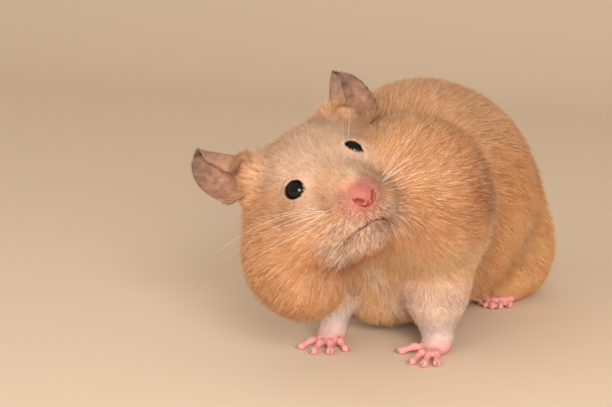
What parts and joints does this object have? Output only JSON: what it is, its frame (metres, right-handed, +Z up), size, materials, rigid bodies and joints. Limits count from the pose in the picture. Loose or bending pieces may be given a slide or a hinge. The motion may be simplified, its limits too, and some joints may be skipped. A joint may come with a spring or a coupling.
{
  "type": "golden hamster figure",
  "caption": "Life-size still figure of a short-haired golden hamster with both cheek pouches full, standing on all fours with its head turned and cocked.",
  "frame": {"origin": "middle of the bounding box at the floor, under the belly", "axes": "+Z up, the animal's body faces -Y, its left side is +X"},
  "size_m": [0.0744, 0.1388, 0.0757],
  "materials": {
    "coat": "short dense golden-orange fur, matt with a soft sheen",
    "pale_coat": "short creamy pink-white fur, matt",
    "bare_skin": "bare pink skin, slightly moist",
    "ear_skin": "thin grey-brown skin with fine down",
    "eye": "wet black gloss"
  },
  "bodies": {
    "root": {"trunk": "coat", "neck": "coat", "head": "coat", "cheek_pouch_left": "coat", "cheek_pouch_right": "coat", "haunch_left": "coat", "haunch_right": "coat", "foreleg_left": "pale_coat", "foreleg_right": "pale_coat", "nose": "bare_skin", "tail": "bare_skin", "forepaw_left": "bare_skin", "forepaw_right": "bare_skin", "hind_foot_left": "bare_skin", "hind_foot_right": "bare_skin", "ear_left": "ear_skin", "ear_right": "ear_skin", "eye_left": "eye", "eye_right": "eye"}
  },
  "joints": []
}
